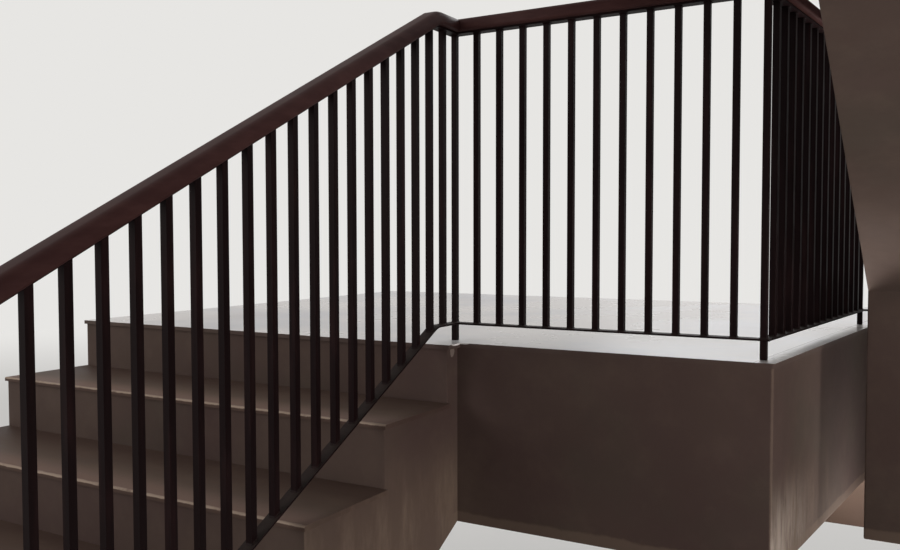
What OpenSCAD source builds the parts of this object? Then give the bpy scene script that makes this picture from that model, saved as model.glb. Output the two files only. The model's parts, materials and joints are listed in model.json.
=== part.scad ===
// Fire escape stair: a lower flight, a landing, an upper flight and a half landing in concrete,
// with a welded steel balustrade and a rounded handrail along the open stair well.
// X runs across the flights, +Y points at the wall behind the landing and Z is up.
// The origin is the middle of the edge that the landing slab has in that wall.

/* [Steps] */
// Height of a riser
riser = 160; // [145:1:185]
// Going of a step, from nosing to nosing
going = 305; // [260:1:340]
// Width of a flight
flight_w = 1480; // [1000:5:1800]
// Risers from the ground to the landing
lower_risers = 8; // [5:1:12]
// Risers from the landing to the half landing
upper_risers = 12; // [8:1:14]
// Thickness of a tread's slab
tread_t = 12; // [8:1:40]
// How far a nosing stands out over its riser
nosing_lip = 10; // [4:1:25]
// How far a tread stands out over the flight's open side
side_lip = 10; // [2:1:20]
// Radius of a nosing's upper edge
nosing_r = 4; // [2:1:7]

/* [Landings] */
// Depth of the landing, from its well edge to the wall
landing_depth = 1886; // [1600:1:2400]
// Depth of the half landing, from its well edge to the wall
half_depth = 1500; // [1100:1:2200]
// Thickness of a landing's slab
slab_t = 180; // [120:1:260]
// Thickness of a landing's floor finish
floor_t = 12; // [8:1:40]
// How far the floor finish stands out over the well edge
floor_lip = 3; // [1:1:15]
// Depth of an edge beam, floor finish included
beam_d = 500; // [380:1:600]
// Width of an edge beam
beam_w = 250; // [150:1:350]
// Distance of a landing's well edge behind its top nosing
edge_set = 65; // [20:1:90]
// Number of the upper flight's steps over its solid foot
foot_steps = 2; // [1:1:3]
// Depth of the cross beam behind the upper flight's foot, floor finish included
cross_beam_d = 670; // [520:1:800]
// Radius of the landing's corner at the well
corner_r = 8; // [4:1:60]
// Angle by which the landing's return edge splays outwards
splay = 6.2; // [0:0.1:12]

/* [Balustrade] */
// Side of a square baluster or post
bar = 16; // [12:1:25]
// Distance between baluster centres
pitch = 70; // [50:1:110]
// Gaps between balusters along the landing's front
front_gaps = 12; // [8:1:16]
// Gaps between balusters along the landing's return
return_gaps = 15; // [12:1:18]
// Gaps between balusters from the return to the upper newel
link_gaps = 2; // [2:1:4]
// Distance of a baluster's centre from the open side of the lower flight and the landing
side_inset = 38; // [25:1:60]
// Distance of a baluster's centre from the upper flight's open side
upper_inset = 60; // [25:1:80]
// Distance of a landing post's centre behind the top nosing
post_set = 120; // [100:1:160]
// Distance of the lower newel's centre behind the first nosing
newel_in = 85; // [40:1:150]
// Distance of the upper newel's centre before the first nosing
newel_out = 24; // [15:1:60]
// Distance of the last post's centre from the side wall
wall_gap = 25; // [15:1:60]
// Width of the flat bars at the foot and head of the balusters
flat_w = 32; // [24:1:50]
// Thickness of those flat bars
flat_t = 5; // [4:1:10]
// Height of the lower flat bar over the floor or the nosing line
foot_gap = 46; // [30:1:90]

/* [Handrail] */
// Height of the handrail's top over a landing
rail_h = 895; // [850:1:1100]
// Width of the handrail
rail_w = 62; // [45:1:80]
// Depth of the handrail
rail_d = 35; // [30:1:60]
// Radius of the handrail's upper corners
rail_top_r = 17; // [8:1:20]
// Radius of the handrail's lower corners
rail_low_r = 7; // [3:1:10]
// How far the handrail runs past the newel at a free end
rail_over = 45; // [30:1:90]
// Length of the bend on each side of a knee
knee_run = 16; // [8:1:90]

/* [Hidden] */

concrete = "#5e5248";
finish = "#b9ab9c";
tread_finish = "#8d7a69";
steel = "#222024";
rail_brown = "#4a2a26";

// The plan is drawn from the landing post: X and Y are zero at its centre, Z at the landing's floor
slope = riser / going;
open_x = side_inset;
left_x = open_x - flight_w;
well_face_y = edge_set - post_set;
lower_rise = lower_risers * riser;
half_z = upper_risers * riser;
corner_x = front_gaps * pitch;
return_l = return_gaps * pitch;
return_x = corner_x + return_l * sin(splay);
return_y = return_l * cos(splay);
newel_x = return_x + link_gaps * pitch;
upper_x = newel_x - upper_inset;
right_x = upper_x + flight_w;
first_nosing_y = return_y - newel_out;
right_face_y = first_nosing_y - nosing_lip;
rear_y = well_face_y + landing_depth;
half_nosing_y = first_nosing_y - (upper_risers - 1) * going;
half_face_y = half_nosing_y - edge_set;
half_end_y = half_face_y - half_depth;
half_post_y = half_nosing_y - post_set;
lower_newel_y = -post_set - (lower_risers - 1) * going + newel_in;
wall_post_x = left_x + wall_gap;
// Vertical depth from the nosing line to the lower soffit, which meets the front beam's lower edge
waist = beam_d + edge_set * slope;
// The same depth on the upper flight, whose slab is as thick as the landing's
upper_waist = riser + slab_t * sqrt(1 + slope * slope);
rail_rest = rail_h - rail_d;

function lower_nosing(k) = -post_set - going * k;
function upper_nosing(k) = first_nosing_y - going * k;
function lower_soffit(y) = (y + post_set) * slope - waist;
function upper_soffit(y) = riser + (first_nosing_y - y) * slope - upper_waist;

// X at a given Y of a line beside the middle of the return's run, at a distance to its right
function beside_return(y, off) = corner_x + y * tan(splay) + off / cos(splay);

// X of the return edge at a given Y, moved outwards by a lip
function return_edge(y, lip = 0) = beside_return(y, side_inset + lip);

// Points round the landing's corner at the well
function well_corner(lip) =
    let (turn = 90 - splay, y = well_face_y - lip, x = return_edge(y, lip), t = corner_r * tan(turn / 2))
    [for (i = [0:6]) [
        x - t + corner_r * sin(turn * i / 6),
        y + corner_r - corner_r * cos(turn * i / 6)
    ]];

// Floor line with a bend, as distance along the run and height: level on one side, sloping on the other
function bend(at, height, before, after) = [for (i = [0:6])
    let (t = i / 6, u = -(1 - t) * (1 - t) * knee_run + t * t * knee_run)
    [at + u, height - (1 - t) * (1 - t) * knee_run * before + t * t * knee_run * after]];

lower_run = -lower_newel_y;
lower_line = concat(
    [[-100, 0]],
    bend(post_set, 0, 0, -slope),
    [[lower_run + 200, -(lower_run + 200 - post_set) * slope]]
);
upper_run = return_y - half_post_y;
upper_knee = return_y - half_nosing_y;
upper_line = concat(
    [[-200, half_z - (upper_knee + 200) * slope]],
    bend(upper_knee, half_z, slope, 0),
    [[upper_run + 100, half_z]]
);
level_line = [[-100, 0], [10000, 0]];
half_run = newel_x - wall_post_x;

// Moves the plan so that the origin lies in the wall edge of the landing slab
module from_wall() {
    translate([-(left_x + right_x) / 2, -rear_y, floor_t + slab_t / 2]) children();
}

// Extrudes a Y and Z outline along X
module across(x, w) {
    translate([x, 0, 0]) rotate([90, 0, 90]) linear_extrude(w) children();
}

// Extrudes a plan outline between two heights
module between(z_low, z_high) {
    translate([0, 0, z_low]) linear_extrude(z_high - z_low) children();
}

module lower_flight() {
    foot_y = (waist - lower_rise) / slope - post_set;
    last = lower_risers - 1;
    steps = [for (k = [last:-1:1], top = [0, 1]) [
        lower_nosing(k) + nosing_lip,
        top == 1 ? -k * riser - tread_t : -(k + 1) * riser - (k == last ? 0 : tread_t)
    ]];
    color(concrete) across(left_x, flight_w) polygon(concat(steps, [
        [lower_nosing(0) + nosing_lip, -riser - tread_t],
        [lower_nosing(0) + nosing_lip, -floor_t],
        [well_face_y, -floor_t],
        [well_face_y, lower_soffit(well_face_y)],
        [foot_y, -lower_rise]
    ]));
}

// The upper flight: a slab whose lower end is a solid foot, as deep as the landing's beams
module upper_flight() {
    last = upper_risers - 1;
    foot_y = upper_nosing(foot_steps) - edge_set;
    steps = [for (k = [1:last], top = [0, 1]) [
        upper_nosing(k) - nosing_lip,
        riser * (k + top) - (k + top == upper_risers ? floor_t : tread_t)
    ]];
    color(concrete) across(upper_x, flight_w) polygon(concat([
        [foot_y, upper_soffit(foot_y)],
        [foot_y, -beam_d],
        [right_face_y, -beam_d],
        [right_face_y, riser - tread_t]
    ], steps, [
        [half_face_y, half_z - floor_t],
        [half_face_y, upper_soffit(half_face_y)]
    ]));
}

// Outline of a tread, from its nosing back under the next riser
module tread_outline() {
    polygon(concat(
        [for (i = [0:4]) [nosing_r - nosing_r * cos(22.5 * i), nosing_r * sin(22.5 * i) - nosing_r]],
        [[going + nosing_lip, 0], [going + nosing_lip, -tread_t], [0, -tread_t]]
    ));
}

module lower_tread(k) {
    color(tread_finish) across(left_x, flight_w + side_lip)
        translate([lower_nosing(k), -k * riser]) tread_outline();
}

module upper_tread(k) {
    color(tread_finish) across(upper_x - side_lip, flight_w + side_lip)
        translate([upper_nosing(k - 1), k * riser]) mirror([1, 0]) tread_outline();
}

module landing_slab() {
    inner_y = well_face_y + beam_w;
    inner_x = return_edge(right_face_y) - beam_w;
    color(concrete) between(-floor_t - slab_t, -floor_t) polygon([
        [left_x, inner_y],
        [return_edge(inner_y) - beam_w, inner_y],
        [inner_x, right_face_y],
        [inner_x, right_face_y + beam_w],
        [right_x, right_face_y + beam_w],
        [right_x, rear_y],
        [left_x, rear_y]
    ]);
}

module landing_front_beam() {
    inner_y = well_face_y + beam_w;
    color(concrete) between(-beam_d, -floor_t) polygon(concat(
        [[left_x, well_face_y]],
        well_corner(0),
        [[return_edge(inner_y), inner_y], [left_x, inner_y]]
    ));
}

module landing_return_beam() {
    inner_y = well_face_y + beam_w;
    color(concrete) between(-beam_d, -floor_t) polygon([
        [return_edge(inner_y), inner_y],
        [return_edge(right_face_y), right_face_y],
        [return_edge(right_face_y) - beam_w, right_face_y],
        [return_edge(inner_y) - beam_w, inner_y]
    ]);
}

module landing_right_beam() {
    inner_x = return_edge(right_face_y) - beam_w;
    color(concrete) between(-cross_beam_d, -floor_t)
        translate([inner_x, right_face_y]) square([right_x - inner_x, beam_w]);
}

module landing_floor() {
    color(finish) between(-floor_t, 0) polygon(concat(
        [
            [left_x, lower_nosing(0)],
            [open_x + side_lip, lower_nosing(0)],
            [open_x + side_lip, well_face_y - floor_lip]
        ],
        well_corner(floor_lip),
        [
            [return_edge(right_face_y, floor_lip), right_face_y],
            [right_x, right_face_y],
            [right_x, rear_y],
            [left_x, rear_y]
        ]
    ));
}

module half_landing_slab() {
    color(concrete) between(half_z - floor_t - slab_t, half_z - floor_t)
        translate([left_x, half_end_y]) square([right_x - left_x, half_depth - beam_w]);
}

module half_landing_beam() {
    color(concrete) between(half_z - beam_d, half_z - floor_t)
        translate([left_x, half_face_y - beam_w]) square([right_x - left_x, beam_w]);
}

module half_landing_floor() {
    lip_y = half_face_y + floor_lip;
    color(finish) between(half_z - floor_t, half_z) polygon([
        [left_x, half_end_y],
        [right_x, half_end_y],
        [right_x, half_nosing_y],
        [upper_x - side_lip, half_nosing_y],
        [upper_x - side_lip, lip_y],
        [left_x, lip_y]
    ]);
}

// Stands an outline of distance and height upright, with its thickness centred on the run
module upright(w) {
    rotate([90, 0, 0]) linear_extrude(w, center = true) children();
}

// Vertical strip of a floor line between two distances, from one height over it to another
module strip(line, from, to, low, high) {
    inside = [for (p = line) if (p[0] > from && p[0] < to) p[0]];
    stops = concat([from], inside, [to]);
    last = len(stops) - 1;
    polygon(concat(
        [for (u = stops) [u, lookup(u, line) + low]],
        [for (i = [last:-1:0]) [stops[i], lookup(stops[i], line) + high]]
    ));
}

// Post on a floor line, from a height of its foot up to the handrail
module post(line, at, foot) {
    color(steel) upright(bar) polygon([
        [at - bar / 2, foot],
        [at + bar / 2, foot],
        [at + bar / 2, lookup(at + bar / 2, line) + rail_rest],
        [at - bar / 2, lookup(at - bar / 2, line) + rail_rest]
    ]);
}

// Pair of flat bars, at the foot and head of the balusters, with notches round any posts they pass
module flats(line, from, to, posts) {
    difference() {
        upright(flat_w) {
            strip(line, from, to, foot_gap, foot_gap + flat_t);
            strip(line, from, to, rail_rest - flat_t, rail_rest);
        }
        for (at = posts)
            translate([at, 0, rail_h / 2]) cube([bar, bar, rail_h * 2], center = true);
    }
}

// Balusters of a run, spaced evenly from the post at its start to the post at its end
module balusters(line, length) {
    gaps = max(1, round(length / pitch));
    for (i = [1:gaps - 1])
        upright(bar) strip(
            line, i * length / gaps - bar / 2, i * length / gaps + bar / 2,
            foot_gap + flat_t / 2, rail_rest - flat_t / 2
        );
}

module lower_panel() {
    color(steel) at_lower_run() {
        flats(lower_line, flat_w / 2, lower_run - bar / 2, []);
        balusters(lower_line, lower_run);
    }
}

module landing_panel() {
    color(steel) {
        flats(level_line, -flat_w / 2, corner_x + flat_w / 2, [0, corner_x]);
        balusters(level_line, corner_x);
    }
}

module upper_panel() {
    color(steel) at_upper_run() {
        flats(upper_line, bar / 2, upper_run - flat_w / 2, []);
        balusters(upper_line, upper_run);
    }
}

module half_landing_panel() {
    color(steel) at_half_run() {
        flats(level_line, -flat_w / 2, half_run + flat_w / 2, [0, half_run]);
        balusters(level_line, half_run);
    }
}

module at_lower_run() {
    rotate([0, 0, -90]) children();
}

module at_upper_run() {
    translate([newel_x, return_y, 0]) rotate([0, 0, -90]) children();
}

module at_return_run() {
    translate([corner_x, 0, 0]) rotate([0, 0, 90 - splay]) children();
}

module at_half_run() {
    translate([newel_x, half_post_y, half_z]) rotate([0, 0, 180]) children();
}

// The splayed run, with the ends of its flat bars cut square to the runs that they meet
module return_panel() {
    w = flat_w / 2;
    corners = [for (p = [[w, w], [return_y - w, w], [return_y - w, -w], [w, -w]])
        [beside_return(p[0], p[1]), p[0]]];
    color(steel) {
        for (low = [foot_gap, rail_rest - flat_t]) between(low, low + flat_t) polygon(corners);
        at_return_run() balusters(level_line, return_l);
    }
}

// The short run from the return post to the upper newel
module link_panel() {
    length = newel_x - return_x;
    color(steel) translate([return_x, return_y, 0]) {
        flats(level_line, -flat_w / 2, length - bar / 2, [0]);
        balusters(level_line, length);
    }
}

// Points round a corner of the handrail's section
function section_arc(x, z, r, from, steps) =
    [for (i = [0:steps]) [x + r * cos(from + 90 * i / steps), z + r * sin(from + 90 * i / steps)]];

rail_section = concat(
    section_arc(rail_w / 2 - rail_low_r, rail_low_r, rail_low_r, -90, 2),
    section_arc(rail_w / 2 - rail_top_r, rail_d - rail_top_r, rail_top_r, 0, 5),
    section_arc(rail_top_r - rail_w / 2, rail_d - rail_top_r, rail_top_r, 90, 5),
    section_arc(rail_low_r - rail_w / 2, rail_low_r, rail_low_r, 180, 2)
);

// Unit vector in plan from one point to the next
function heading(a, b) = let (d = [b[0] - a[0], b[1] - a[1]]) d / norm(d);

// Vector across the handrail at a point of its path, mitred where the path turns
function mitre(path, i) =
    let (
        last = len(path) - 1,
        a = heading(path[max(i - 1, 0)], path[max(i, 1)]),
        b = heading(path[min(i, last - 1)], path[min(i + 1, last)])
    )
    ([a[1], -a[0]] + [b[1], -b[0]]) / (1 + a * b);

// Length of the slope over its level run at a point of the path
function stretch(path, i) =
    let (
        a = path[max(i - 1, 0)],
        b = path[min(i + 1, len(path) - 1)],
        run = norm([b[0] - a[0], b[1] - a[1]])
    )
    sqrt(1 + pow((b[2] - a[2]) / run, 2));

// One section of the handrail, drawn in towards its middle by a share at a rounded end
function section_at(path, i, share) =
    let (m = mitre(path, i), s = stretch(path, i))
    [for (p = rail_section) [
        path[i][0] + m[0] * p[0] * share,
        path[i][1] + m[1] * p[0] * share,
        path[i][2] + s * (rail_d / 2 + (p[1] - rail_d / 2) * share)
    ]];

// Handrail along a part of a path, with the shares by which its sections are drawn in
module rail(path, from, to, shares) {
    n = len(rail_section);
    count = to - from + 1;
    points = [for (i = [from:to]) each section_at(path, i, shares[i])];
    sides = [for (i = [0:count - 2], j = [0:n - 1], half = [0, 1])
        let (a = i * n + j, b = i * n + (j + 1) % n)
        half == 0 ? [a, a + n, b] : [b, a + n, b + n]];
    color(rail_brown) polyhedron(points, concat(
        [[for (j = [0:n - 1]) j]],
        sides,
        [[for (j = [n - 1:-1:0]) (count - 1) * n + j]]
    ));
}

end_shares = [0.55, 0.82, 0.95];
end_steps = [0, 4, 12];

// Distances along a run from its free end, over the bend to the post at its far end
function stops(line, free, far) =
    let (dir = far > free ? 1 : -1)
    concat(
        [for (s = end_steps) free + dir * s],
        [free + dir * 24],
        dir > 0
            ? [for (p = line) if (p[0] > free + 24 && p[0] < far) p[0]]
            : [for (i = [len(line) - 1:-1:0]) if (line[i][0] < free - 24 && line[i][0] > far) line[i][0]],
        [far]
    );

lower_stops = stops(lower_line, lower_run + rail_over, 0);
well_path = concat(
    [for (u = lower_stops) [0, -u, lookup(u, lower_line) + rail_rest]],
    [
        [corner_x, 0, rail_rest],
        [return_x, return_y, rail_rest],
        [newel_x - bar / 2, return_y, rail_rest]
    ]
);
well_shares = concat(end_shares, [for (i = [len(end_shares):len(well_path) - 1]) 1]);
p_landing = len(lower_stops) - 1;

upper_stops = stops(upper_line, -rail_over, upper_run);
upper_path = concat(
    [for (u = upper_stops) [newel_x, return_y - u, lookup(u, upper_line) + rail_rest]],
    [[left_x, half_post_y, half_z + rail_rest]]
);
upper_shares = concat(end_shares, [for (i = [len(end_shares):len(upper_path) - 1]) 1]);
p_half = len(upper_stops) - 1;

from_wall() {
    lower_flight();
    for (k = [1:lower_risers - 1]) lower_tread(k);
    landing_slab();
    landing_front_beam();
    landing_return_beam();
    landing_right_beam();
    landing_floor();
    upper_flight();
    for (k = [1:upper_risers - 1]) upper_tread(k);
    half_landing_slab();
    half_landing_beam();
    half_landing_floor();
    at_lower_run() post(lower_line, lower_run, riser - lower_rise);  // lower_newel
    post(level_line, 0, 0);  // landing_post
    translate([corner_x, 0, 0]) post(level_line, 0, 0);  // corner_post
    translate([return_x, return_y, 0]) post(level_line, 0, 0);  // return_post
    at_upper_run() post(upper_line, 0, 0);  // upper_newel
    at_half_run() post(level_line, 0, 0);  // half_landing_post
    at_half_run() post(level_line, half_run, 0);  // wall_post
    lower_panel();
    landing_panel();
    return_panel();
    link_panel();
    upper_panel();
    half_landing_panel();
    rail(well_path, 0, p_landing, well_shares);  // lower_handrail
    rail(well_path, p_landing, p_landing + 1, well_shares);  // landing_handrail
    rail(well_path, p_landing + 1, p_landing + 3, well_shares);  // return_handrail
    rail(upper_path, 0, p_half, upper_shares);  // upper_handrail
    rail(upper_path, p_half, p_half + 1, upper_shares);  // half_landing_handrail
}
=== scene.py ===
import json
import math

import bpy
import numpy as np
from mathutils import Matrix, Vector


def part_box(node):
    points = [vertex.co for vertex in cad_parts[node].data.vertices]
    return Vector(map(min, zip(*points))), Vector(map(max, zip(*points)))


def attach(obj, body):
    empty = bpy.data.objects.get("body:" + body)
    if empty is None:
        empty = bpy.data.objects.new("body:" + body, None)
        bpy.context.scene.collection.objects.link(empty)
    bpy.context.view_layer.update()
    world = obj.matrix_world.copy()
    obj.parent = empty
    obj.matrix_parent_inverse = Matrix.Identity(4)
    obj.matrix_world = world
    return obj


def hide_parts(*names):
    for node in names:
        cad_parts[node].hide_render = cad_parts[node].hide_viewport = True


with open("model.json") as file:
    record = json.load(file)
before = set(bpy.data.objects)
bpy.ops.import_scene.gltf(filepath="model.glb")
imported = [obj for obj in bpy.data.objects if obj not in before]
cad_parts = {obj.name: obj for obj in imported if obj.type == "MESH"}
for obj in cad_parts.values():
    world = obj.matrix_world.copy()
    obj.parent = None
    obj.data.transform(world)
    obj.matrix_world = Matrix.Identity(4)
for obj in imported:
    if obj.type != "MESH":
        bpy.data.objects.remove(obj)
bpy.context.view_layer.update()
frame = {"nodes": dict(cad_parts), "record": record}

# Steps, in metres like every size here
RISER = 0.160
GOING = 0.305
SLOPE = RISER / GOING
LOWER_RISERS = 8
UPPER_RISERS = 12

# How far the posts stand from the nosings and from the end of the half landing's balustrade
POST_SET = 0.120
NEWEL_IN = 0.085
NEWEL_OUT = 0.024
WALL_GAP = 0.025

# Balusters: their spacing, the gaps in each run, the return's turn in plan, the square bar, the flat
# bars' thickness, the clear height under the lower one, and the weld fillets' legs
PITCH = 0.070
FRONT_GAPS = 12
RETURN_GAPS = 15
LINK_GAPS = 2
SPLAY = math.radians(6.2)
BAR = 0.016
FLAT_T = 0.005
FOOT_GAP = 0.046
FILLET = 0.003

# Handrail: its section and the radii of its corners, the height that it rests at, how far its free
# ends run on, half the length of its bends, and the rounding of its free ends
RAIL_W = 0.062
RAIL_D = 0.035
RAIL_TOP_R = 0.017
RAIL_LOW_R = 0.007
RAIL_REST = 0.860
RAIL_OVER = 0.045
KNEE_RUN = 0.016
END_ROUND = 0.014
END_SHARE = 0.30

# Distance between the handrail's rings where it runs straight
RAIL_STEP = 0.12


def middle(node):
    """The middle of a node's box."""
    low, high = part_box(node)
    return (low + high) / 2


# The landing post's foot is where every run of the balustrade is measured from
POST = middle("landing_post")
POST.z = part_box("landing_post")[0].z
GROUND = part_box("lower_flight")[0].z
CORNER_X = FRONT_GAPS * PITCH
RETURN_L = RETURN_GAPS * PITCH
RETURN_X = CORNER_X + RETURN_L * math.sin(SPLAY)
RETURN_Y = RETURN_L * math.cos(SPLAY)
NEWEL_X = RETURN_X + LINK_GAPS * PITCH
LOWER_RUN = POST_SET + (LOWER_RISERS - 1) * GOING - NEWEL_IN
FIRST_NOSING_Y = RETURN_Y - NEWEL_OUT
HALF_NOSING_Y = FIRST_NOSING_Y - (UPPER_RISERS - 1) * GOING
HALF_POST_Y = HALF_NOSING_Y - POST_SET
UPPER_RUN = RETURN_Y - HALF_POST_Y
UPPER_KNEE = RETURN_Y - HALF_NOSING_Y
HALF_Z = UPPER_RISERS * RISER
LEFT_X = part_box("lower_flight")[0].x - POST.x
HALF_RUN = NEWEL_X - (LEFT_X + WALL_GAP)


class Value:
    """A number or colour that changes over a surface; sums and products of it add Math nodes."""

    def __init__(self, nodes, socket):
        self.nodes = nodes
        self.socket = socket

    def math(self, operation, *others):
        values = dict(enumerate((self, *others)))
        return self.nodes.node("ShaderNodeMath", {"operation": operation}, values)

    def __add__(self, other):
        return self.math("ADD", other)

    def __sub__(self, other):
        return self.math("SUBTRACT", other)

    def __rsub__(self, other):
        return (self * -1.0).math("ADD", other)

    def __mul__(self, other):
        return self.math("MULTIPLY", other)

    def __abs__(self):
        return self.math("ABSOLUTE")

    __radd__ = __add__
    __rmul__ = __mul__


class Nodes:
    """A tree of shader nodes, which a single method adds."""

    def __init__(self, tree):
        self.tree = tree
        self.tree.nodes.clear()

    def node(self, kind, settings=None, values=None, out=0):
        """Adds a node, sets its settings, gives its sockets values or links, and returns an output."""
        made = self.tree.nodes.new(kind)
        for name, setting in (settings or {}).items():
            setattr(made, name, setting)
        for name, value in (values or {}).items():
            if isinstance(value, Value):
                self.tree.links.new(value.socket, made.inputs[name])
            else:
                made.inputs[name].default_value = value
        return Value(self, made.outputs[out]) if made.outputs else None

    def backdrop_rays(self):
        """1 for the rays that find the backdrop: those of the camera, of gloss and of glass."""
        rays = self.node("ShaderNodeLightPath", out="Is Camera Ray")
        for ray in ("Is Glossy Ray", "Is Transmission Ray"):
            rays = rays.math("MAXIMUM", self.node("ShaderNodeLightPath", out=ray))
        return rays


class Finish(Nodes):
    """One material, on the object's own coordinates."""

    def __init__(self, name):
        self.material = bpy.data.materials.new(name)
        self.material.use_nodes = True
        super().__init__(self.material.node_tree)
        self.place = self.node("ShaderNodeTexCoord", out="Object")
        self.x, self.y, self.z = self.parts(self.place)
        facing = self.node("ShaderNodeNewGeometry", out="Normal")
        self.facing_x, self.facing_y, self.facing_z = self.parts(facing)

    def parts(self, vector):
        """The three parts of a vector, each by itself."""
        return [self.node("ShaderNodeSeparateXYZ", None, {0: vector}, axis) for axis in "XYZ"]

    def stretched(self, factors):
        """The object's own coordinates, stretched along each axis."""
        settings = {"operation": "MULTIPLY"}
        return self.node("ShaderNodeVectorMath", settings, {0: self.place, 1: factors})

    def noise(self, scale, detail=4.0, rough=0.55, stretch=(1.0, 1.0, 1.0)):
        """Cloudy noise from 0 to 1, with so many lumps to the metre."""
        values = {"Vector": self.stretched(stretch), "Scale": scale, "Detail": detail, "Roughness": rough}
        return self.node("ShaderNodeTexNoise", None, values)

    def cells(self, scale):
        """Distance to the nearest of many scattered points."""
        return self.node("ShaderNodeTexVoronoi", None, {"Vector": self.place, "Scale": scale})

    def mask(self, value, low, high):
        """0 below one value and 1 above another, with a smooth step between them."""
        values = {"Value": value, "From Min": low, "From Max": high}
        return self.node("ShaderNodeMapRange", {"interpolation_type": "SMOOTHSTEP"}, values)

    def mix(self, share, first, second):
        """The first colour, with a share of it given over to the second."""
        values = {0: share, 6: first, 7: second}
        return self.node("ShaderNodeMix", {"data_type": "RGBA"}, values, 2)

    def near(self, point, radius, ragged=0.0, stretch=(1.0, 1.0, 1.0), inner=0.8):
        """1 close to a point, falling to 0 between a share of a radius and the radius itself.

        The distance is measured in stretched coordinates, and noise makes it ragged."""
        centre = tuple(c * s for c, s in zip(point, stretch))
        values = {0: self.stretched(stretch), 1: centre}
        distance = self.node("ShaderNodeVectorMath", {"operation": "DISTANCE"}, values, "Value")
        uneven = distance + (self.noise(70.0) - 0.5) * ragged
        return 1.0 - self.mask(uneven, radius * inner, radius)

    def bump(self, height, distance, strength=1.0):
        """The surface's direction, tilted by a height that is so many metres deep."""
        values = {"Height": height, "Distance": distance, "Strength": strength}
        return self.node("ShaderNodeBump", None, values)

    def close(self, **sockets):
        """Ends the material in a Principled shader with these sockets."""
        values = {name.replace("_", " "): value for name, value in sockets.items()}
        shader = self.node("ShaderNodeBsdfPrincipled", None, values)
        self.node("ShaderNodeOutputMaterial", None, {"Surface": shader})
        return self.material


def shade(red, green, blue):
    """A screen colour from 0 to 255, as the linear colour that a shader takes."""
    linear = [((c / 255 + 0.055) / 1.055) ** 2.4 if c > 10 else c / 255 / 12.92 for c in (red, green, blue)]
    return (*linear, 1.0)


# Colours of the paints and slabs
PAINT_DARK = shade(68, 51, 47)
PAINT_LIGHT = shade(77, 62, 55)
PAINT_OLIVE = shade(68, 60, 51)
PAINT_DUST_AND_LIGHT = shade(104, 86, 74)
PAINT_STREAK = shade(122, 104, 90)
PAINT_GRIME = shade(46, 37, 33)
PLASTER = shade(188, 174, 162)
FLOOR_LIGHT = shade(222, 216, 213)
FLOOR_COOL = shade(213, 212, 215)
FLOOR_WORN = shade(200, 194, 191)
FLOOR_DARK = shade(130, 122, 116)
TREAD_BROWN = shade(96, 80, 70)
TREAD_LIGHT = shade(116, 98, 86)
TREAD_PINK = shade(140, 112, 102)
TREAD_NOSING = shade(176, 156, 140)
STEEL_BLACK = shade(22, 11, 12)
STEEL_WARM = shade(42, 25, 25)
STEEL_DUSTY = shade(70, 62, 58)
RAIL_BROWN = shade(71, 46, 44)
RAIL_DEEP = shade(60, 37, 36)
RAIL_WORN = shade(96, 72, 68)


# Heights on the painted concrete from the landing's floor: where the streaks low on its sides, and
# the paler band of dust and painted light from below under them, begin and are at their full
# strength, how far the painted light from below at the beams' corner reaches above that, and the
# upper edge of the lighter band on the beams round the well, with how far it wanders
STREAKS_TOP = -0.20
STREAKS_FULL = -0.46
LIT_FROM_BELOW_H = 0.20
BAND_TOP = -0.468
BAND_RAGGED = 0.025

# Where the beams round the well begin, behind the flights, measured from the landing post
BEAMS_FROM = -0.10
BEAMS_FULL = -0.07

# How far behind the landing post the streaks, and the paler band of dust and painted light under
# them, start to fade and end
STREAKS_FADE = 0.15
STREAKS_END = 0.75

# The upright edge at the corner of the beams round the well, a little inside its rounding, and the
# stretch that leaves height out for the pale line and the painted light from below along it
BEAM_LOW, BEAM_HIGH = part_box("landing_front_beam")
ARRIS_IN = 0.002
ARRIS_X = BEAM_HIGH.x - (BEAM_HIGH.y - BEAM_LOW.y) * math.tan(SPLAY)
BEAM_ARRIS = (ARRIS_X - ARRIS_IN, BEAM_LOW.y + ARRIS_IN, 0.0)
IN_PLAN = (1.0, 1.0, 0.0)

# Chipped spots beside the landing post's foot, in the paint and in the floor's edge
PAINT_CHIP = POST + Vector((0.038, -0.084, -0.022))
EDGE_CHIP = POST + Vector((0.058, -0.080, 0.0))

# Thin dark line, sunk a little, in the landing's floor along the return balustrade: how far it lies
# to the landing's side of that line, and half its width, without and with its blurred edge
DARK_LINE_SET = 0.006
DARK_LINE_HALF = 0.0012
DARK_LINE_EDGE = 0.0025

# Height over the landing's floor above which only the half landing has a floor
LANDING_TOP = 0.4

# Depths behind a tread's nosing: where the pale arris fades and ends, where the darker back begins,
# dust with painted shade under the step above, and how far the lighter front reaches, worn by feet
# and with painted light
ARRIS_FADE = 0.005
ARRIS_END = 0.010
DUST_SHADE_FROM = 0.02
TRODDEN_LIT_TO = 0.12


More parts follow.
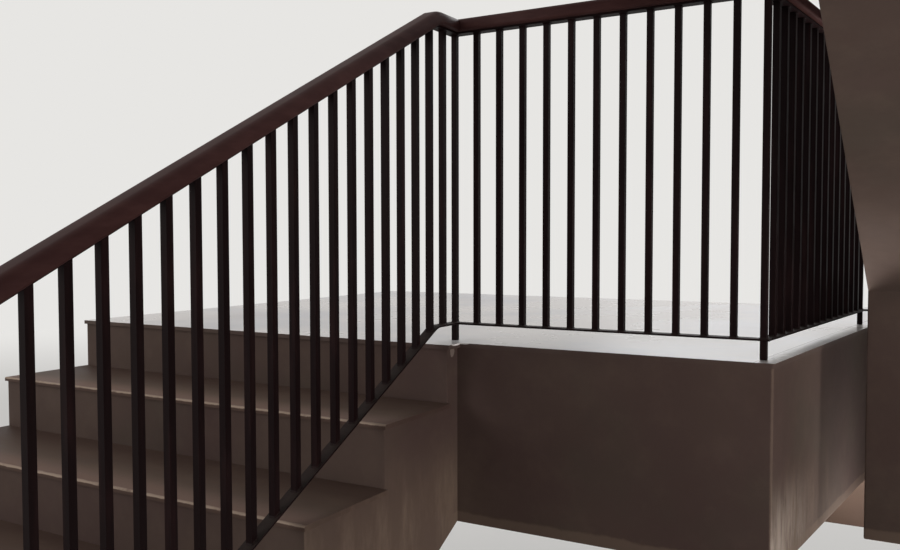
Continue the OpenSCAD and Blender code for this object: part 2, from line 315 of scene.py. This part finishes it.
def paint_colour(finish):
    """Brushed paint: broad soft clouds, faint blotches, grime, and low on the sides a paler band, part dust
    and part painted light from below, with pale streaks over it.
    """
    clouds = finish.mask(finish.noise(1.5, 4.0, 0.5), 0.34, 0.66)
    colour = finish.mix(clouds, PAINT_DARK, PAINT_LIGHT)
    olive = finish.mask(finish.noise(2.6, 4.0, 0.5), 0.48, 0.72)
    colour = finish.mix(olive * 0.5, colour, PAINT_OLIVE)
    blotches = finish.mask(finish.noise(11.0, 5.0, 0.65), 0.42, 0.74)
    colour = finish.mix(blotches * 0.08, colour, PAINT_STREAK)
    # A paler band low on the faces turned sideways, part dust and part painted light from below, with the
    # paint's own streaks over it
    side = finish.mask(abs(finish.facing_x), 0.5, 0.8)
    outer = 1.0 - finish.mask(finish.y - POST.y, STREAKS_FADE, STREAKS_END)
    low = side * outer * (1.0 - finish.mask(finish.z - POST.z, STREAKS_FULL, STREAKS_TOP))
    colour = finish.mix(low * 0.45, colour, PAINT_DUST_AND_LIGHT)
    streaks = finish.mask(finish.noise(5.0, 6.0, 0.65, (2.0, 2.0, 0.5)), 0.44, 0.74)
    colour = finish.mix(streaks * low * 0.7, colour, PAINT_STREAK)
    grime = finish.mask(finish.noise(4.2, 6.0, 0.65), 0.56, 0.80)
    colour = finish.mix(grime * 0.3, colour, PAINT_GRIME)
    scuffs = finish.mask(finish.noise(26.0, 6.0, 0.75, (1.0, 1.0, 2.0)), 0.71, 0.75)
    return finish.mix(scuffs * 0.18, colour, PAINT_STREAK)


def paint_relief(finish):
    """Height of the trowelled plaster, the brush marks and the roller's grain under the paint."""
    trowel = finish.noise(4.0, 3.0, 0.5)
    brushed = finish.noise(40.0, 4.0, 0.6, (1.0, 1.0, 0.5))
    return trowel + brushed * 0.12 + finish.noise(240.0, 2.0, 0.5) * 0.05


def concrete_finish():
    """Painted concrete, chipped at the landing post's foot, with painted light from below making it pale
    low beside the beams' corner.

    A lighter band runs along the lower edge of the beams round the well."""
    finish = Finish("painted_concrete")
    chip = finish.near(PAINT_CHIP, 0.012, 0.010, (2.2, 1.0, 0.8))
    colour = finish.mix(chip * 0.28, paint_colour(finish), PLASTER)
    arris = finish.near(BEAM_ARRIS, 0.0035, 0.004, IN_PLAN)
    colour = finish.mix(arris * 0.3, colour, PAINT_STREAK)
    # Painted light from below: the side facing the well is made pale low down near the beams' corner,
    # streaked like the brushed paint
    lit_from_below = finish.near(BEAM_ARRIS, 0.45, 0.10, IN_PLAN, inner=0.0)
    foot = 1.0 - finish.mask(finish.z - POST.z, STREAKS_FULL, STREAKS_FULL + LIT_FROM_BELOW_H)
    brushed = finish.mask(finish.noise(16.0, 5.0, 0.60, (2.0, 2.0, 0.4)), 0.20, 0.66)
    side = finish.mask(finish.facing_x, 0.5, 0.8)
    colour = finish.mix(lit_from_below * foot * brushed * side * 0.75, colour, PLASTER)
    ragged = (finish.noise(9.0, 5.0, 0.65) - 0.5) * BAND_RAGGED
    low = 1.0 - finish.mask(finish.z - POST.z + ragged, BAND_TOP - 0.008, BAND_TOP)
    beams = finish.mask(finish.y, POST.y + BEAMS_FROM, POST.y + BEAMS_FULL)
    colour = finish.mix(low * beams * 0.35, colour, PAINT_STREAK)
    relief = finish.bump(paint_relief(finish) - chip * 0.4, 0.003, 0.8)
    rough = 0.72 + finish.noise(12.0) * 0.22
    return finish.close(Base_Color=colour, Roughness=rough, Normal=relief, Specular_IOR_Level=0.3)


def floor_finish():
    """Polished pale floor, whose upright edge at the well has the concrete's paint."""
    finish = Finish("pale_floor")
    clouds = finish.mask(finish.noise(1.8, 5.0, 0.6), 0.38, 0.66)
    colour = finish.mix(clouds, FLOOR_LIGHT, FLOOR_COOL)
    specks = 1.0 - finish.mask(finish.cells(160.0), 0.03, 0.09)
    colour = finish.mix(specks * 0.10, colour, FLOOR_DARK)
    trodden = finish.mask(finish.noise(1.6, 4.0, 0.5), 0.50, 0.8)
    colour = finish.mix(trodden * 0.4, colour, FLOOR_WORN)
    # A thin dark line, sunk a little, along the return balustrade on the landing's floor
    inside = (finish.x - POST.x) * math.cos(SPLAY) - (finish.y - POST.y) * math.sin(SPLAY)
    off_dark_line = abs(inside - (CORNER_X * math.cos(SPLAY) - DARK_LINE_SET))
    dark_line = 1.0 - finish.mask(off_dark_line, DARK_LINE_HALF, DARK_LINE_EDGE)
    dark_line = dark_line * (1.0 - finish.mask(finish.z, POST.z + LANDING_TOP, POST.z + LANDING_TOP * 1.5))
    colour = finish.mix(dark_line * 0.8, colour, FLOOR_DARK)
    edge = 1.0 - finish.mask(finish.facing_z, 0.3, 0.6)
    chip = finish.near(EDGE_CHIP, 0.030, 0.010, (1.0, 1.0, 5.0))
    colour = finish.mix(edge * (1.0 - chip), colour, paint_colour(finish))
    rough = 0.26 + clouds * 0.12 + trodden * 0.1 + edge * 0.6
    relief = finish.bump(finish.noise(3.0, 2.0, 0.5) - dark_line * 0.5, 0.0006, 0.5)
    return finish.close(Base_Color=colour, Roughness=rough, Normal=relief)


def tread_finish(name, level_nosing_y, towards):
    """Worn slab with a pale, chipped arris along its nosing, painted shade on its upright front, dust and
    painted shade at the back of its top, and wear and painted light at the front.

    The level nosing is where the nosing line meets the landing's floor, and towards is the way that
    the treads go back: the depth behind a tread's own nosing follows from its height on that line."""
    finish = Finish(name)
    behind = (finish.y - level_nosing_y) * towards - (finish.z - POST.z) * (1.0 / SLOPE)
    front = finish.mask(abs(finish.facing_y), 0.5, 0.8)
    side = finish.mask(abs(finish.facing_x), 0.5, 0.8)
    top = finish.mask(finish.facing_z, 0.5, 0.8)
    worn = finish.mask(finish.noise(5.0, 6.0, 0.7, (0.5, 1.5, 1.0)), 0.4, 0.72)
    colour = finish.mix(worn, TREAD_BROWN, TREAD_LIGHT)
    specks = 1.0 - finish.mask(finish.cells(120.0), 0.04, 0.1)
    colour = finish.mix(specks * 0.25, colour, PAINT_GRIME)
    # Darker towards the back of each tread: dust, and painted shade under the step above
    dust = finish.mask(behind, DUST_SHADE_FROM, GOING) * top
    colour = finish.mix(dust * 0.7, colour, PAINT_DARK)
    # Lighter near the nosing: wear from feet, and painted light where the step above casts no shade
    trodden_and_lit = (1.0 - finish.mask(behind, DUST_SHADE_FROM, TRODDEN_LIT_TO)) * top
    colour = finish.mix(trodden_and_lit * 0.45, colour, TREAD_PINK)
    ragged = (finish.noise(34.0, 5.0, 0.7) - 0.5) * 0.012
    arris = (1.0 - finish.mask(behind + ragged, ARRIS_FADE, ARRIS_END)) * (top + front)
    whole = finish.mask(finish.noise(13.0, 4.0, 0.6), 0.26, 0.42)
    # Painted shade: the tread's upright front below the arris is darkened towards the dark paint
    colour = finish.mix(front * (1.0 - arris) * 0.7, colour, PAINT_DARK)
    colour = finish.mix(arris * whole * 0.7, colour, TREAD_NOSING)
    colour = finish.mix(side, colour, paint_colour(finish))
    chips = arris * (1.0 - whole)
    relief = finish.bump(finish.noise(40.0, 5.0, 0.6) * 0.4 + ragged * 30.0 * front - chips, 0.0018, 0.7)
    rough = 0.55 + worn * 0.2
    return finish.close(Base_Color=colour, Roughness=rough, Normal=relief, Specular_IOR_Level=0.1)


def steel_finish():
    """Near-black paint with brush marks, dust on what faces up and a few worn spots."""
    finish = Finish("black_paint")
    marks = finish.noise(34.0, 4.0, 0.6, (1.0, 1.0, 0.12))
    dust = finish.mask(finish.facing_z, 0.35, 0.9) * finish.noise(24.0, 5.0, 0.7)
    colour = finish.mix(finish.mask(marks, 0.45, 0.8) * 0.8, STEEL_BLACK, STEEL_WARM)
    colour = finish.mix(dust * 0.7, colour, STEEL_DUSTY)
    worn = finish.mask(finish.noise(48.0, 6.0, 0.8), 0.74, 0.78)
    colour = finish.mix(worn * 0.3, colour, STEEL_DUSTY)
    relief = finish.bump(marks + finish.noise(260.0, 2.0, 0.5) * 0.3, 0.0006, 0.7)
    rough = 0.42 + marks * 0.16 + dust * 0.2
    return finish.close(Base_Color=colour, Roughness=rough, Normal=relief, Specular_IOR_Level=0.05)


def rail_finish():
    """Reddish-brown handrail, satin, with faint long streaks and a top worn by hands."""
    finish = Finish("brown_handrail")
    streaks = finish.noise(30.0, 5.0, 0.6, (0.4, 0.4, 1.6))
    patches = finish.noise(5.0, 5.0, 0.65)
    colour = finish.mix(finish.mask(streaks, 0.35, 0.75), RAIL_DEEP, RAIL_BROWN)
    worn = finish.mask(finish.facing_z, 0.5, 1.0) * finish.mask(patches, 0.4, 0.7)
    colour = finish.mix(worn * 0.12, colour, RAIL_WORN)
    nicks = finish.mask(finish.noise(80.0, 6.0, 0.8), 0.74, 0.77)
    colour = finish.mix(nicks * 0.35, colour, RAIL_WORN)
    rough = 0.46 + patches * 0.18
    relief = finish.bump(streaks * 0.6 + patches, 0.0007, 0.6)
    return finish.close(Base_Color=colour, Roughness=rough, Normal=relief, Specular_IOR_Level=0.07)


def mesh_piece(name, points, faces, material, smooth=True):
    """A piece whose place is in its mesh, from an array of points and a list of faces."""
    mesh = bpy.data.meshes.new(name)
    mesh.from_pydata(points.tolist(), [], faces)
    mesh.polygons.foreach_set("use_smooth", [smooth] * len(mesh.polygons))
    mesh.materials.append(material)
    mesh.update()
    piece = bpy.data.objects.new(name, mesh)
    bpy.context.scene.collection.objects.link(piece)
    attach(piece, "root")
    return piece


def tube_faces(rings, around):
    """Four-sided faces between rings of points, each ring closed on itself."""
    ring, step = np.meshgrid(np.arange(rings - 1), np.arange(around), indexing="ij")
    after = (step + 1) % around
    near, far = ring * around, (ring + 1) * around
    return np.stack([near + step, near + after, far + after, far + step], -1).reshape(-1, 4)


def bend_height(distance, before, after):
    """Height near a bend: two even slopes joined by a parabola over KNEE_RUN on each side.

    With t running from 0 to 1 over the bend, the height is t squared times the slope after it,
    less (1 - t) squared times the slope before it, times KNEE_RUN."""
    t = np.clip((distance / KNEE_RUN + 1) / 2, 0, 1)
    inside = KNEE_RUN * (t * t * after - (1 - t) ** 2 * before)
    past = np.maximum(distance - KNEE_RUN, 0) * after
    short = np.minimum(distance + KNEE_RUN, 0) * before
    return inside + past + short


def lower_line(u):
    """Height of the lower run's floor line at a distance from the landing post."""
    return bend_height(u - POST_SET, 0.0, -SLOPE)


def upper_line(u):
    """Height of the upper run's floor line at a distance from the upper newel."""
    return HALF_Z + bend_height(u - UPPER_KNEE, SLOPE, 0.0)


def landing_line(u):
    """Height of the landing's floor."""
    return np.zeros_like(u)


def half_line(u):
    """Height of the half landing's floor."""
    return np.full_like(u, HALF_Z)


def rail_section(steps=9):
    """Points round the handrail's section, anticlockwise: four quarter circles at its corners."""
    turn = np.radians(np.linspace(0, 90, steps))
    arcs = []
    for start, side, radius, height in (
        (-90, 1, RAIL_LOW_R, RAIL_LOW_R),
        (0, 1, RAIL_TOP_R, RAIL_D - RAIL_TOP_R),
        (90, -1, RAIL_TOP_R, RAIL_D - RAIL_TOP_R),
        (180, -1, RAIL_LOW_R, RAIL_LOW_R),
    ):
        angle = turn + math.radians(start)
        across = side * (RAIL_W / 2 - radius) + radius * np.cos(angle)
        arcs.append(np.stack([across, height + radius * np.sin(angle)], 1))
    return np.concatenate(arcs)


def swept_rail(path, shares):
    """Points of a handrail: its section carried along a path, mitred in plan where the path turns.

    Each ring stands upright across the path. Its width lies along the sum of the two unit vectors
    across the path, over one plus the cosine of the turn, and its depth is stretched by the slope's
    length over its level run, so that its thickness stays the same."""
    plan = np.diff(path[:, :2], axis=0)
    heading = plan / np.linalg.norm(plan, axis=1, keepdims=True)
    before = np.concatenate([heading[:1], heading])
    after = np.concatenate([heading, heading[-1:]])
    cosine = (before * after).sum(1, keepdims=True)
    across = np.stack([before[:, 1] + after[:, 1], -before[:, 0] - after[:, 0]], 1) / (1 + cosine)
    level = np.linalg.norm(path[2:, :2] - path[:-2, :2], axis=1)
    rise = (path[2:, 2] - path[:-2, 2]) / level
    stretch = np.sqrt(1 + np.concatenate([rise[:1], rise, rise[-1:]]) ** 2)
    section = rail_section()
    wide = section[:, 0] * shares[:, None]
    deep = RAIL_D / 2 + (section[:, 1] - RAIL_D / 2) * shares[:, None]
    points = np.empty((len(path), len(section), 3))
    points[..., :2] = path[:, None, :2] + across[:, None, :] * wide[..., None]
    points[..., 2] = path[:, None, 2] + deep * stretch[:, None]
    return points


def rail_piece(name, node, rings, material):
    """One length of handrail, closed at both ends, in the place of its node."""
    around = rings.shape[1]
    faces = [face[::-1] for face in tube_faces(len(rings), around).tolist()]
    faces.append(list(range(around)))
    faces.append([(len(rings) - 1) * around + i for i in range(around - 1, -1, -1)])
    piece = mesh_piece(name, rings.reshape(-1, 3) + np.array(POST), faces, material)
    piece.data.polygons[len(faces) - 1].use_smooth = False
    piece.data.polygons[len(faces) - 2].use_smooth = False
    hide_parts(node)
    return piece


def run_stops(free, far, knee):
    """Distances along a run: close together at the rounded free end and over the bend."""
    way = 1 if far > free else -1
    end = free + way * END_ROUND * (1 - np.cos(np.linspace(0, math.pi / 2, 9)))
    span = np.arange(RAIL_STEP, abs(far - free) - RAIL_STEP / 2, RAIL_STEP) * way + free
    over = np.linspace(knee - KNEE_RUN, knee + KNEE_RUN, 9)
    stops = np.unique(np.round(np.concatenate([end, span, over, [far]]), 6))
    return stops[::way]


def end_shares(stops):
    """How far each ring is drawn in: a quarter circle over the free end's rounding, from END_SHARE."""
    depth = np.clip(np.abs(stops - stops[0]) / END_ROUND, 0, 1)
    return END_SHARE + (1 - END_SHARE) * np.sqrt(1 - (1 - depth) ** 2)


def handrails(material):
    """The five lengths of handrail, cut from two paths at the corners where they meet."""
    lower = run_stops(LOWER_RUN + RAIL_OVER, 0.0, POST_SET)
    start = np.stack([lower * 0, -lower, lower_line(lower) + RAIL_REST], 1)
    corners = [[CORNER_X, 0], [RETURN_X, RETURN_Y], [NEWEL_X - BAR / 2, RETURN_Y]]
    level = np.array([[x, y, RAIL_REST] for x, y in corners])
    well = np.concatenate([start, level])
    shares = np.concatenate([end_shares(lower), [1, 1, 1]])
    rings = swept_rail(well, shares)
    last = len(lower) - 1
    rail_piece("handrail_lower", "lower_handrail", rings[: last + 1], material)
    rail_piece("handrail_landing", "landing_handrail", rings[last : last + 2], material)
    rail_piece("handrail_return", "return_handrail", rings[last + 1 :], material)

    upper = run_stops(-RAIL_OVER, UPPER_RUN, UPPER_KNEE)
    climb = np.stack([upper * 0 + NEWEL_X, RETURN_Y - upper, upper_line(upper) + RAIL_REST], 1)
    far_end = np.array([[LEFT_X, HALF_POST_Y, HALF_Z + RAIL_REST]])
    rings = swept_rail(np.concatenate([climb, far_end]), np.concatenate([end_shares(upper), [1]]))
    last = len(upper) - 1
    rail_piece("handrail_upper", "upper_handrail", rings[: last + 1], material)
    rail_piece("handrail_half_landing", "half_landing_handrail", rings[last:], material)


def runs():
    """Each run of balusters: name, start, heading in plan, length, the height of its floor line, and
    the distances of the posts that its flat bars pass."""
    across = (math.sin(SPLAY), math.cos(SPLAY))
    return [
        ("lower", (0.0, 0.0), (0.0, -1.0), LOWER_RUN, lower_line, []),
        ("landing", (0.0, 0.0), (1.0, 0.0), CORNER_X, landing_line, [0.0, CORNER_X]),
        ("return", (CORNER_X, 0.0), across, RETURN_L, landing_line, []),
        ("link", (RETURN_X, RETURN_Y), (1.0, 0.0), NEWEL_X - RETURN_X, landing_line, [0.0]),
        ("upper", (NEWEL_X, RETURN_Y), (0.0, -1.0), UPPER_RUN, upper_line, []),
        ("half_landing", (NEWEL_X, HALF_POST_Y), (-1.0, 0.0), HALF_RUN, half_line, [0.0, HALF_RUN]),
    ]


def fillet_ring(around):
    """A weld fillet round a square bar, as offsets along the run, across it and up.

    The fillet's line is a superellipse round the bar, its section is a triangle whose sloping side
    faces out, and the triangle's legs swell and shrink by a seventh in a slow wave. Its inner
    corner is sunk a little into the steel."""
    order = 12
    swell = 0.14
    waves = 5
    angle = np.linspace(0, 2 * math.pi, around, endpoint=False)[:, None]
    size = (np.abs(np.cos(angle)) ** order + np.abs(np.sin(angle)) ** order) ** (-1 / order)
    leg = FILLET * (1 + swell * np.sin(waves * angle))
    sunk = -0.1 * FILLET
    out = BAR / 2 * size + np.concatenate([leg, leg * 0 + sunk, leg * 0 + sunk], 1)
    up = np.concatenate([leg * 0 + sunk, leg, leg * 0 + sunk], 1)
    return np.stack([out * np.cos(angle), out * np.sin(angle), up], -1)


def ring_faces(around, tube, count):
    """Faces of many rings that close on themselves both ways, turned outwards."""
    i, j = np.meshgrid(np.arange(around), np.arange(tube), indexing="ij")
    onward, over = (i + 1) % around, (j + 1) % tube
    corners = [i * tube + j, onward * tube + j, onward * tube + over, i * tube + over]
    one = np.stack(corners, -1).reshape(-1, 4)
    return (one[None] + (np.arange(count) * around * tube)[:, None, None]).reshape(-1, 4)


def on_run(run, u, along, across, up):
    """Points of a run from distances along it, offsets across it and heights over the post's foot."""
    start, heading = run[1], run[2]
    x = start[0] + heading[0] * (u + along) + heading[1] * across
    y = start[1] + heading[1] * (u + along) - heading[0] * across
    return np.stack(np.broadcast_arrays(x + POST.x, y + POST.y, up + POST.z), -1)


def weld_fillets(material):
    """Fillets where each baluster, and each post that a flat bar passes, meets the two flat bars."""
    around = 16
    ring = fillet_ring(around).reshape(-1, 3)
    for run in runs():
        name, _, _, length, line, passed = run
        gaps = max(1, round(length / PITCH))
        u = np.sort(np.concatenate([np.arange(1, gaps) * length / gaps, passed]))[:, None]
        along, across = ring[None, :, 0], ring[None, :, 1]
        floor = line(u + along)
        foot = on_run(run, u, along, across, floor + FOOT_GAP + FLAT_T + ring[None, :, 2])
        head = on_run(run, u, along, across, floor + RAIL_REST - FLAT_T - ring[None, :, 2])
        points = np.concatenate([foot.reshape(-1, 3), head.reshape(-1, 3)])
        faces = ring_faces(around, 3, 2 * len(u))
        half = len(faces) // 2
        faces[half:] = faces[half:, ::-1]
        mesh_piece(f"weld_fillets_{name}", points, faces.tolist(), material, False)


# How far the edges of the steel, the treads and the flights are rounded, the greatest gap between
# points that are welded first, and the angle from which an edge counts as sharp
STEEL_EDGE = 0.0009
TREAD_EDGE = 0.0015
FLIGHT_EDGE = 0.003
WELD_GAP = 0.00001
SHARP_ANGLE = math.radians(40)


def soften(names, width, segments=2):
    """Rounds the sharp edges of these nodes a little, over their welded meshes."""
    for name in names:
        node = frame["nodes"][name]
        weld = node.modifiers.new("weld", "WELD")
        weld.merge_threshold = WELD_GAP
        bevel = node.modifiers.new("edges", "BEVEL")
        bevel.width = width
        bevel.segments = segments
        bevel.limit_method = "ANGLE"
        bevel.angle_limit = SHARP_ANGLE


def finish_nodes():
    """Gives every node its finish and softens the edges that are seen close to."""
    steel = steel_finish()
    materials = {
        "concrete": concrete_finish(),
        "floor_finish": floor_finish(),
        "steel": steel,
        "handrail": rail_finish(),
    }
    treads = {
        "lower": tread_finish("lower_tread_slab", POST.y - POST_SET, 1),
        "upper": tread_finish("upper_tread_slab", POST.y + FIRST_NOSING_Y + GOING, -1),
    }
    for part in frame["record"]["subparts"]:
        name, slot = part["node"], part["material_slot"]
        material = treads[name.split("_")[0]] if slot == "tread_finish" else materials[slot]
        node = frame["nodes"][name]
        node.data.materials.clear()
        node.data.materials.append(material)
    names = [part["node"] for part in frame["record"]["subparts"]]
    soften([n for n in names if "post" in n or "newel" in n or "panel" in n], STEEL_EDGE, 1)
    soften([n for n in names if "tread" in n], TREAD_EDGE)
    soften(["lower_flight", "upper_flight"], FLIGHT_EDGE)
    handrails(materials["handrail"])
    weld_fillets(steel)


# Colours of the floor round the stair, of the backdrop and of the light that comes from all round
FLOOR_PALE = (0.74, 0.73, 0.71, 1.0)
BACKDROP = (0.80, 0.79, 0.77, 1.0)
AMBIENT_LIGHT = (1.0, 0.98, 0.96, 1.0)
AMBIENT_STRENGTH = 0.30

# The floor: half its width, how far it lies below the stair, the backdrop's share in it beside the
# stair, and the distances between which it fades into the backdrop
STAGE_HALF = 60.0
STAGE_BELOW = 0.001
STAGE_SHARE = 0.4
FADE_FROM = 5.0
FADE_TO = 14.0


def stage_floor():
    """A plain pale floor under the stair, which fades into the backdrop far from it."""
    half = STAGE_HALF
    z = GROUND - STAGE_BELOW
    finish = Finish("stage_floor")
    away = finish.node("ShaderNodeVectorMath", {"operation": "LENGTH"}, {0: finish.place}, "Value")
    near = finish.node("ShaderNodeBsdfPrincipled", None, {"Base Color": FLOOR_PALE, "Roughness": 0.85})
    far = finish.node("ShaderNodeEmission", None, {"Color": BACKDROP, "Strength": 1.0})
    share = STAGE_SHARE + finish.mask(away, FADE_FROM, FADE_TO) * (1.0 - STAGE_SHARE)
    faded = finish.node("ShaderNodeMixShader", None, {0: share * finish.backdrop_rays(), 1: near, 2: far})
    finish.node("ShaderNodeOutputMaterial", None, {"Surface": faded})
    corners = [(-half, -half, z), (half, -half, z), (half, half, z), (-half, half, z)]
    mesh = bpy.data.meshes.new("stage_floor")
    mesh.from_pydata(corners, [], [(0, 1, 2, 3)])
    mesh.materials.append(finish.material)
    floor = bpy.data.objects.new("stage_floor", mesh)
    bpy.context.scene.collection.objects.link(floor)


def surroundings():
    """A plain pale world: one strength lights the stair, and rays that see the world find a paler one."""
    world = bpy.data.worlds.new("studio")
    bpy.context.scene.world = world
    world.use_nodes = True
    sky = Nodes(world.node_tree)
    light = sky.node("ShaderNodeBackground", None, {"Color": AMBIENT_LIGHT, "Strength": AMBIENT_STRENGTH})
    backdrop = sky.node("ShaderNodeBackground", None, {"Color": BACKDROP, "Strength": 1.0})
    both = sky.node("ShaderNodeMixShader", None, {0: sky.backdrop_rays(), 1: light, 2: backdrop})
    sky.node("ShaderNodeOutputWorld", None, {"Surface": both})


def lamp(name, place, aim, size, watts, colour, spread=180.0):
    """A square soft light at a place, turned to a point, with its beam's angle in degrees."""
    data = bpy.data.lights.new(name, "AREA")
    data.shape = "SQUARE"
    data.size = size
    data.energy = watts
    data.color = colour
    data.spread = math.radians(spread)
    light = bpy.data.objects.new(name, data)
    light.location = place
    light.visible_camera = False
    light.rotation_euler = (Vector(aim) - Vector(place)).to_track_quat("-Z", "Y").to_euler()
    bpy.context.scene.collection.objects.link(light)


# Colours of the lamps
DAYLIGHT = (0.97, 0.98, 1.0)
SOFT_WHITE = (1.0, 0.98, 0.96)
WARM_WHITE = (1.0, 0.97, 0.94)
WARM = (1.0, 0.96, 0.92)
ROSY = (1.0, 0.96, 0.94)


def lights():
    """Soft light from behind over the landing and from the front, and weaker light low down.

    The low lamps stand in front, beside the stair, under the slot beside the return beam and under
    the upper flight. Their beams are narrow, so that they leave no bright pool on the floor."""
    lamp("back_light", (-0.8, 3.6, 3.2), (-0.3, -1.2, 0.0), 2.6, 105.0, DAYLIGHT)
    lamp("front_light", (-3.5, -7.0, 2.6), (-0.3, -2.2, 0.2), 4.0, 155.0, SOFT_WHITE)
    lamp("low_front_light", (5.0, -9.5, -0.45), (0.3, -1.6, -0.3), 1.4, 7.1, WARM_WHITE, 50.0)
    lamp("well_side_light", (9.0, -3.5, -0.35), (0.3, -1.8, -0.3), 1.6, 23.0, WARM, 50.0)
    lamp("well_floor_light", (0.46, -1.30, -1.10), (0.43, -1.12, 0.0), 0.2, 9.5, WARM, 64.0)
    lamp("soffit_light", (0.9, -2.4, -1.10), (0.8, -2.3, 0.6), 0.6, 2.6, ROSY, 86.0)


# Camera of the photograph, from a fit to the stair's edges
CAMERA_FROM_POST = Vector((1.2379, -2.1757, 0.2911))
CAMERA_YAW = 0.52325
CAMERA_PITCH = 0.04252
CAMERA_ROLL = -0.00145
CAMERA_LENS = 35.367


def camera():
    """The photograph's camera, turned by its yaw and pitch and leaning by its roll."""
    data = bpy.data.cameras.new("camera")
    data.sensor_width = 36.0
    data.lens = CAMERA_LENS
    data.clip_start = 0.05
    data.clip_end = 200.0
    ahead = Vector((
        -math.sin(CAMERA_YAW) * math.cos(CAMERA_PITCH),
        math.cos(CAMERA_YAW) * math.cos(CAMERA_PITCH),
        -math.sin(CAMERA_PITCH),
    ))
    level = ahead.cross(Vector((0, 0, 1))).normalized()
    upright = level.cross(ahead)
    right = level * math.cos(CAMERA_ROLL) + upright * math.sin(CAMERA_ROLL)
    up = right.cross(ahead)
    turn = Matrix((right, up, -ahead)).transposed().to_4x4()
    made = bpy.data.objects.new("camera", data)
    made.matrix_world = Matrix.Translation(POST + CAMERA_FROM_POST) @ turn
    bpy.context.scene.collection.objects.link(made)
    bpy.context.scene.camera = made


bpy.context.scene.view_settings.view_transform = "Standard"
camera()
surroundings()
lights()
stage_floor()
finish_nodes()
